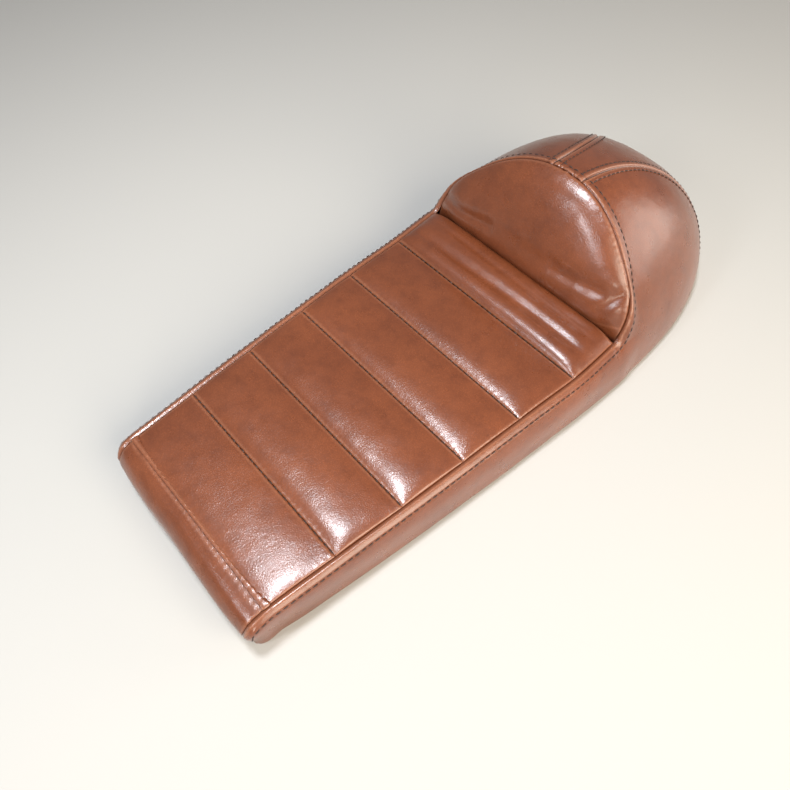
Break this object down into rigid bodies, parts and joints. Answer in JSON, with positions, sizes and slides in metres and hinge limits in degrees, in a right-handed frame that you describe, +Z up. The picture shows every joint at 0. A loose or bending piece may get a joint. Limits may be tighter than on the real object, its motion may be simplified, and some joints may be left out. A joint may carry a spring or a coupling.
{
  "type": "motorcycle seat",
  "caption": "One-piece solo motorcycle seat with cross-pleated leatherette top, padded rear hump and a flat plywood base with threaded inserts.",
  "frame": {"origin": "middle of the seat's length and width, on the plane of the turned-under cover that it rests on", "axes": "+Y from the nose to the hump's tail, +X to the rider's right, +Z up"},
  "size_m": [0.267, 0.612, 0.1442],
  "materials": {
    "leather_cover": "semi-gloss pebbled leatherette, chestnut brown",
    "plywood": "sanded plywood",
    "zinc_steel": "zinc plated",
    "seat_foam": "open-cell foam rubber",
    "tape": "woven cotton tape"
  },
  "bodies": {
    "root": {"base_board": "plywood", "mounting_t_nuts": "zinc_steel", "cover_staples": "zinc_steel", "seat_foam": "seat_foam", "pleat_padding": "seat_foam", "hump_foam": "seat_foam", "crease_tie_strip": "tape", "tie_strip_staples": "zinc_steel", "seam_tape_left": "tape", "seam_tape_right": "tape", "nose_panel": "leather_cover", "pleat_panel_1": "leather_cover", "pleat_panel_2": "leather_cover", "pleat_panel_3": "leather_cover", "pleat_panel_4": "leather_cover", "pleat_panel_5": "leather_cover", "lumbar_roll_panel": "leather_cover", "hump_front_panel": "leather_cover", "hump_centre_strip": "leather_cover", "side_panel_left": "leather_cover", "side_panel_right": "leather_cover"}
  },
  "joints": []
}
